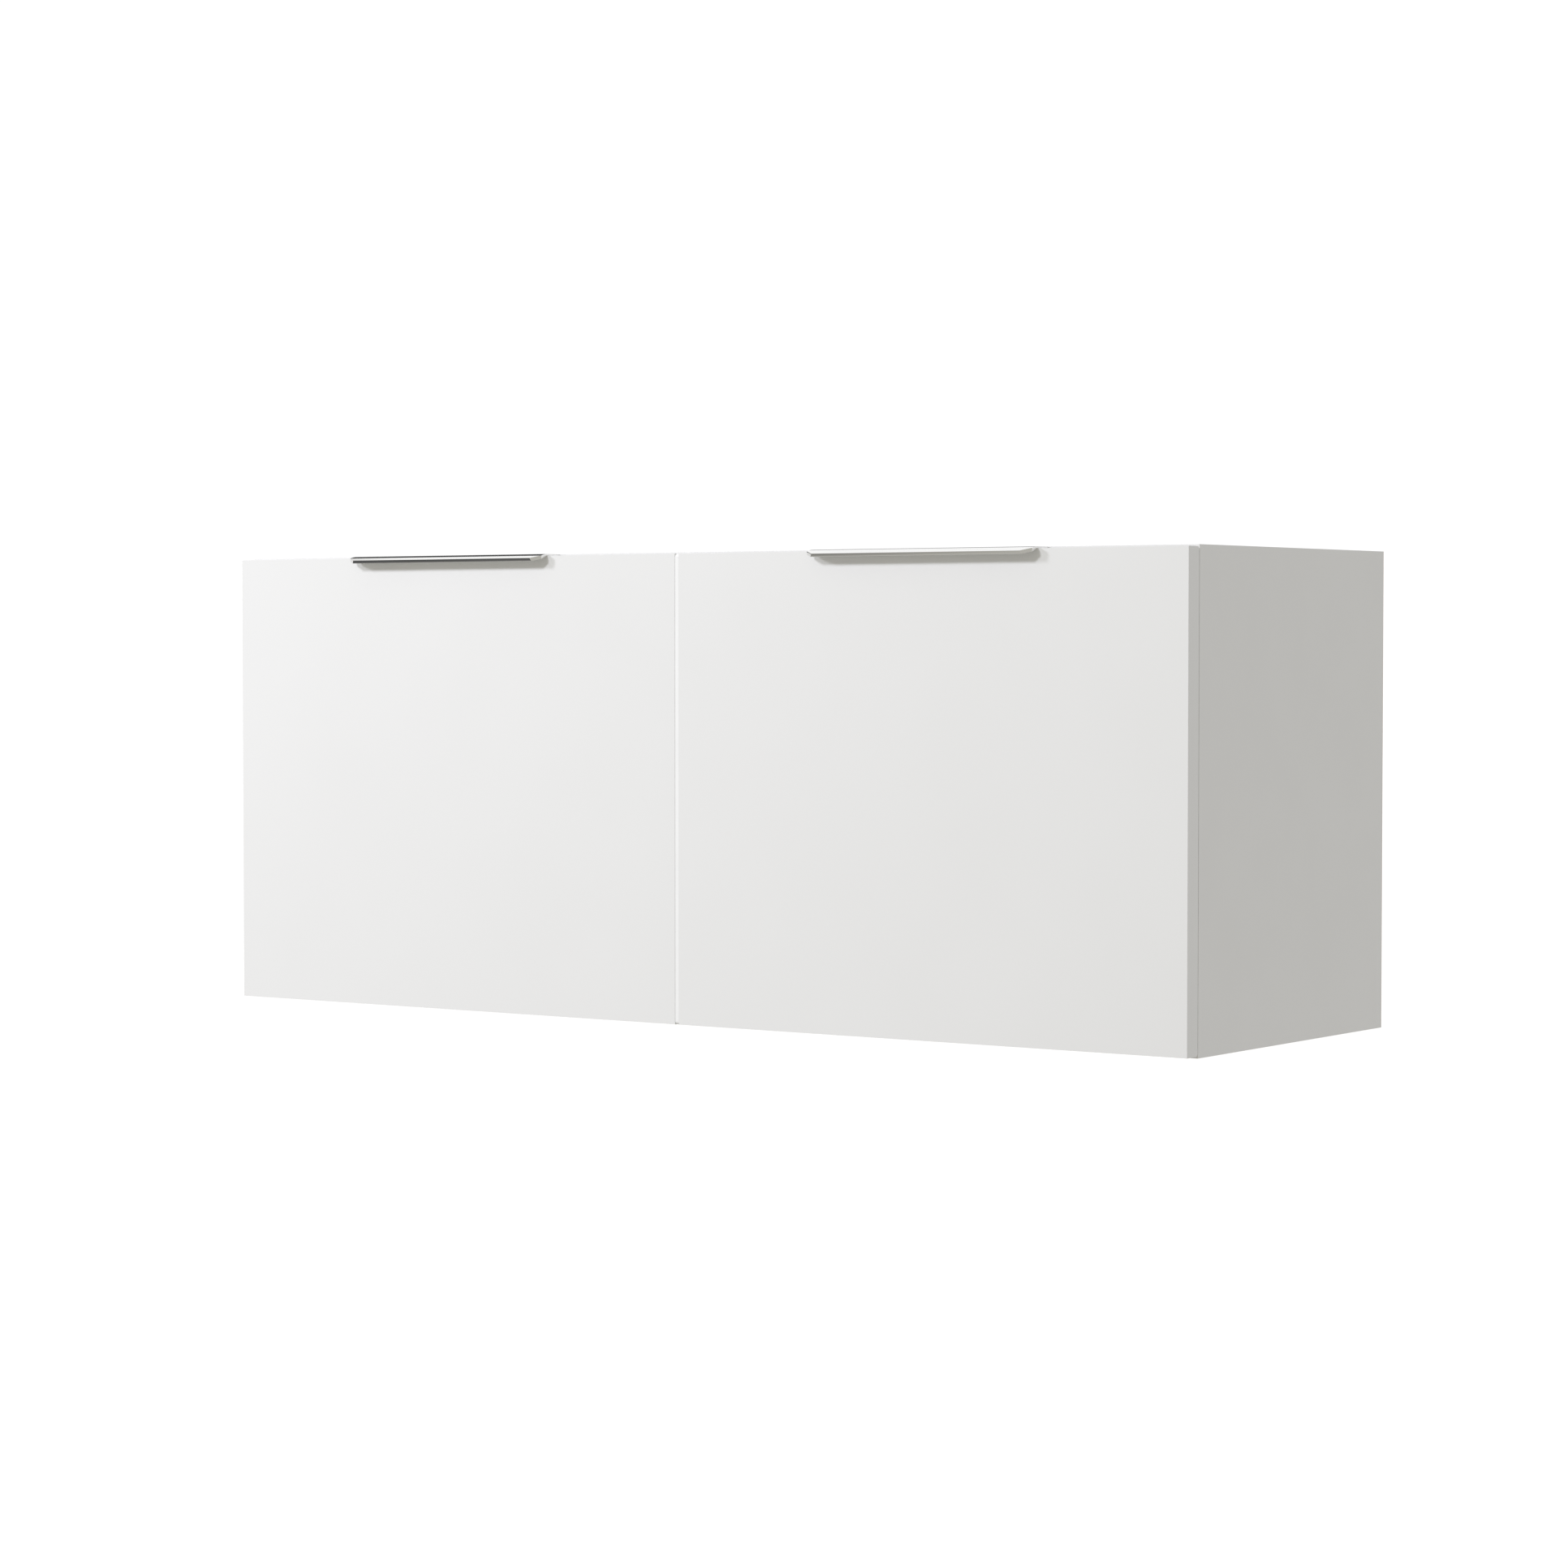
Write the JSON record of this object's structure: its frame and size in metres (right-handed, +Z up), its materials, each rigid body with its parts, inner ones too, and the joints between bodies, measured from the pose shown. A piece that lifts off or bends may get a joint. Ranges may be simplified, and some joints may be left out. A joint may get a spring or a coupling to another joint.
{
  "type": "wall cabinet",
  "caption": "Wide hanging wall cabinet with drop-down flap fronts, metal edge pulls, shelves and a concealed wall rail.",
  "frame": {"origin": "on the wall plane, at the centre of the wall rail's slotted holes, 55 mm below the carcass top and midway between its sides", "axes": "+Z up; +Y into the wall, so the front faces -Y; +X to the viewer's right when facing the front"},
  "size_m": [1, 0.3516, 0.407],
  "materials": {
    "carcass_board": "white melamine-faced board, fine satin",
    "front_board": "white lacquered board, smooth satin",
    "back_board": "thin hardboard, white face and brown rear",
    "pull_metal": "polished",
    "zinc": "nickel-plated die casting",
    "steel": "zinc-plated",
    "beech": "raw turned beech",
    "grey_plastic": "moulded",
    "white_plastic": "moulded",
    "bumper": "soft translucent"
  },
  "bodies": {
    "carcass": {"left_side_panel": "carcass_board", "right_side_panel": "carcass_board", "top_panel": "carcass_board", "bottom_panel": "carcass_board", "centre_divider": "carcass_board", "centre_strip": "white_plastic", "back_panel": "back_board", "left_shelf": "carcass_board", "right_shelf": "carcass_board", "shelf_pins": "steel", "cam_locks": "zinc", "cam_bolts": "steel", "cam_covers": "white_plastic", "assembly_dowels": "beech", "wall_rail": "steel", "left_hanger_housing": "grey_plastic", "right_hanger_housing": "grey_plastic", "left_hanger_hook": "steel", "right_hanger_hook": "steel", "hanger_screws": "steel", "left_hanger_cover": "white_plastic", "right_hanger_cover": "white_plastic", "hinge_arms": "steel", "hinge_plates": "steel", "hinge_arm_screws": "steel", "hinge_plate_screws": "steel", "left_stay_housing": "grey_plastic", "right_stay_housing": "grey_plastic", "stay_housing_screws": "steel", "catch_housings": "white_plastic", "catch_magnets": "zinc", "catch_screws": "steel"},
    "left_flap": {"left_flap_panel": "front_board", "left_edge_pull": "pull_metal", "left_pull_screws": "steel", "left_hinge_cups": "zinc", "left_hinge_pins": "steel", "left_cup_screws": "steel", "left_stay_bracket": "steel", "left_bracket_screws": "steel", "left_strike_plate": "zinc", "left_strike_screws": "steel", "left_flap_bumpers": "bumper"},
    "right_flap": {"right_flap_panel": "front_board", "right_edge_pull": "pull_metal", "right_pull_screws": "steel", "right_hinge_cups": "zinc", "right_hinge_pins": "steel", "right_cup_screws": "steel", "right_stay_bracket": "steel", "right_bracket_screws": "steel", "right_strike_plate": "zinc", "right_strike_screws": "steel", "right_flap_bumpers": "bumper"},
    "left_arm": {"left_stay_arm": "steel"},
    "left_rod": {"left_stay_rod": "steel"},
    "right_arm": {"right_stay_arm": "steel"},
    "right_rod": {"right_stay_rod": "steel"}
  },
  "joints": [
    {"name": "left_flap_hinge", "type": "hinge", "parent": "carcass", "child": "left_flap", "pos_m": [-0.251, -0.33, -0.3455], "axis": [1, 0, 0], "range_deg": [0, 90]},
    {"name": "left_arm_pivot", "type": "hinge", "parent": "carcass", "child": "left_arm", "pos_m": [-0.4691, -0.18, -0.2855], "axis": [1, 0, 0], "range_deg": [0, 90]},
    {"name": "left_rod_pivot", "type": "hinge", "parent": "left_flap", "child": "left_rod", "pos_m": [-0.4649, -0.308, -0.242], "axis": [1, 0, 0], "range_deg": [-90, 0]},
    {"name": "right_flap_hinge", "type": "hinge", "parent": "carcass", "child": "right_flap", "pos_m": [0.251, -0.33, -0.3455], "axis": [1, 0, 0], "range_deg": [0, 90]},
    {"name": "right_arm_pivot", "type": "hinge", "parent": "carcass", "child": "right_arm", "pos_m": [0.4691, -0.18, -0.2855], "axis": [1, 0, 0], "range_deg": [0, 90]},
    {"name": "right_rod_pivot", "type": "hinge", "parent": "right_flap", "child": "right_rod", "pos_m": [0.4649, -0.308, -0.242], "axis": [1, 0, 0], "range_deg": [-90, 0]}
  ],
  "couplings": [
    {"joint": "left_arm_pivot", "follows": "left_flap_hinge", "ratio": 1},
    {"joint": "left_rod_pivot", "follows": "left_flap_hinge", "ratio": -1},
    {"joint": "right_arm_pivot", "follows": "right_flap_hinge", "ratio": 1},
    {"joint": "right_rod_pivot", "follows": "right_flap_hinge", "ratio": -1}
  ]
}
